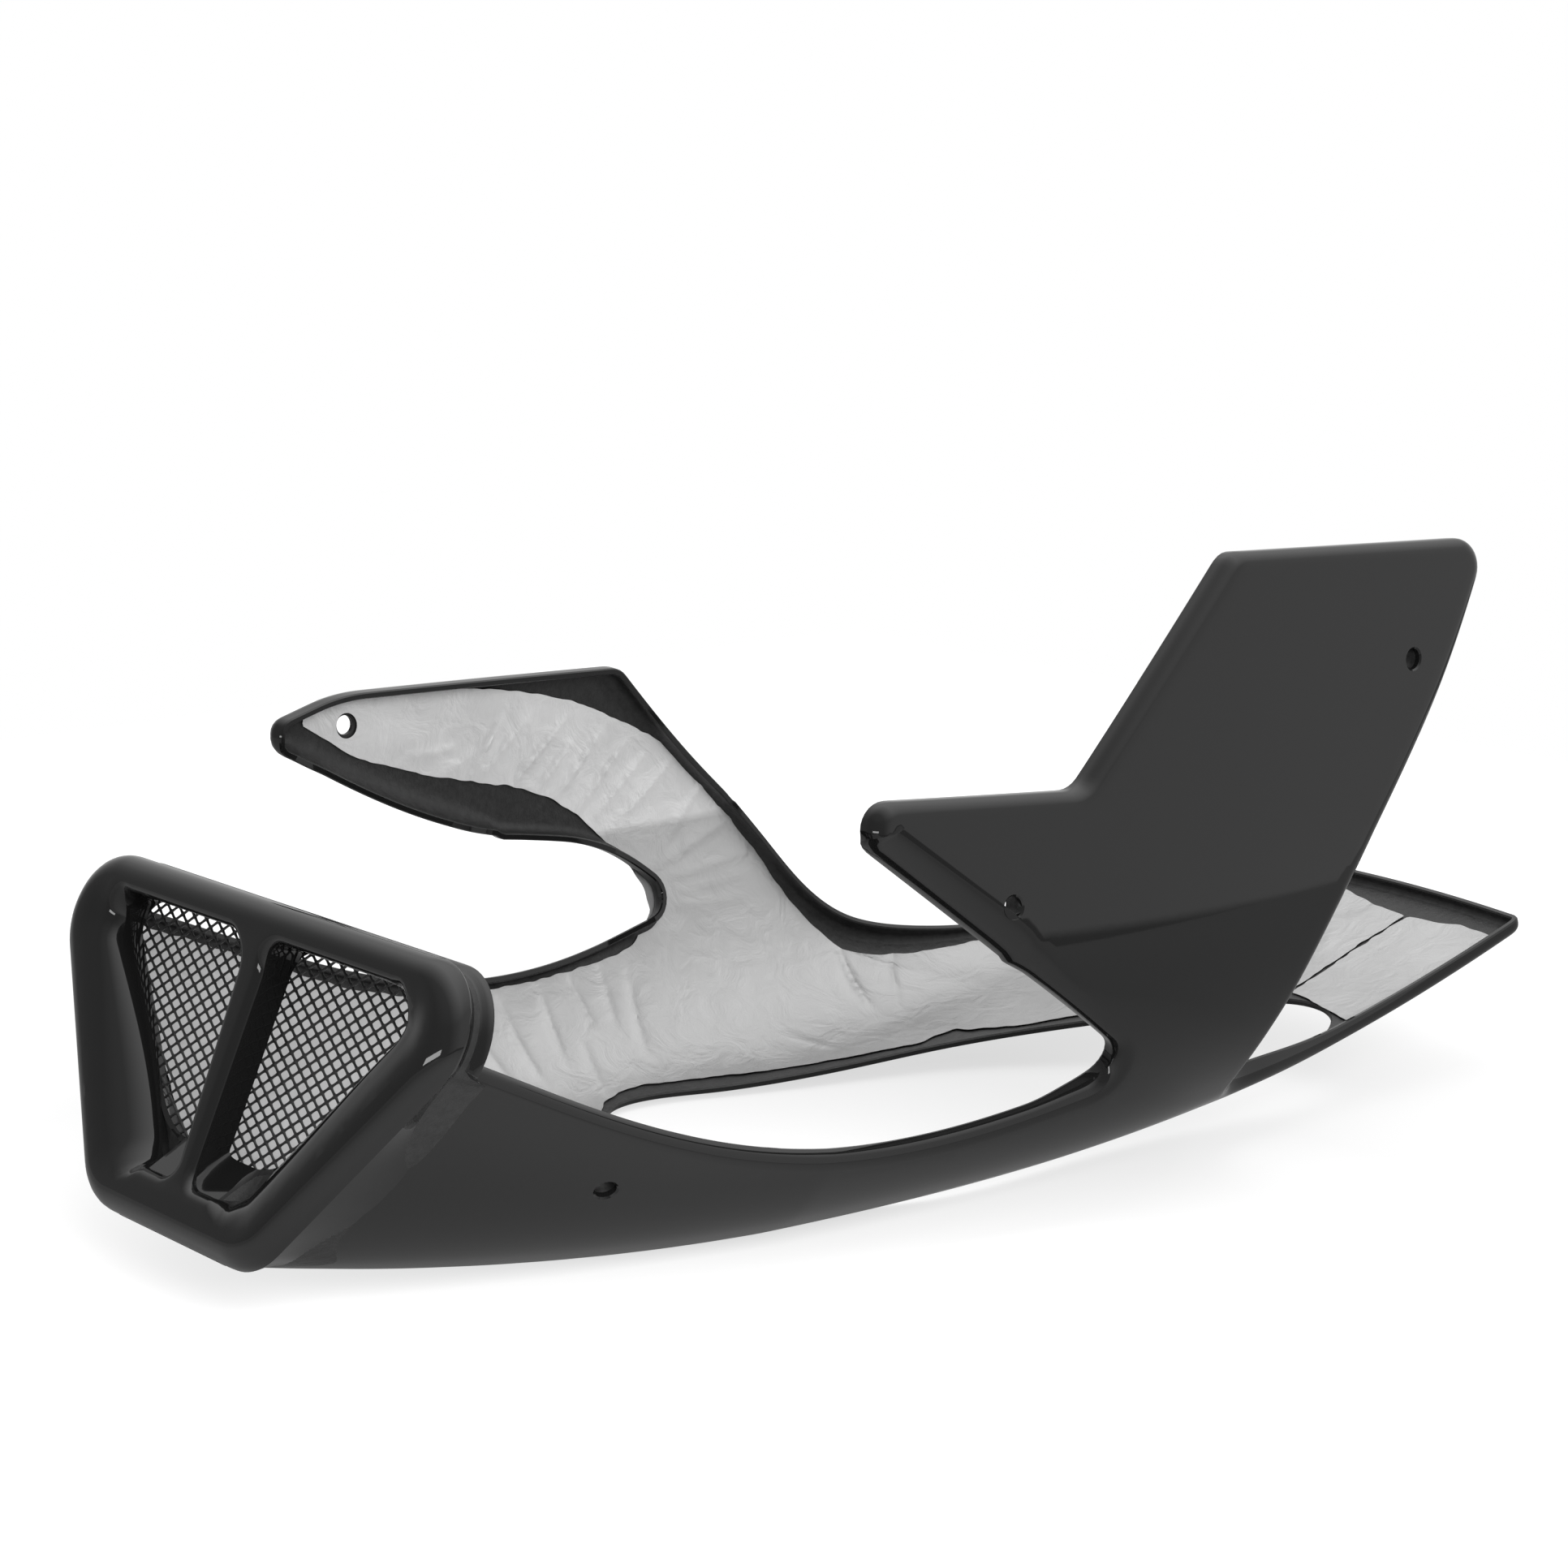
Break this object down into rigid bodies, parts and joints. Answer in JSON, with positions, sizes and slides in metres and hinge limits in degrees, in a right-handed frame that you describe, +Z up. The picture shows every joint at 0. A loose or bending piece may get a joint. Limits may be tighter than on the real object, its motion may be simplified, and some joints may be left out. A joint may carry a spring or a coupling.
{
  "type": "motorcycle belly pan",
  "caption": "Moulded gloss black belly pan with a raked intake nose with mesh grilles, a left horn and fin, a right arm, an open floor and bright heat foil inside.",
  "frame": {"origin": "middle of the bounding box in plan, at the level of the pan's lowest point", "axes": "+X to the rear of the machine, +Y to its right, +Z up"},
  "size_m": [0.6859, 0.3479, 0.2733],
  "materials": {
    "gelcoat": "high gloss",
    "mesh": "satin",
    "foil": "satin"
  },
  "bodies": {
    "root": {"pan_shell": "gelcoat", "grille_left": "mesh", "grille_right": "mesh", "heat_foil_right": "foil", "heat_foil_left": "foil"}
  },
  "joints": []
}
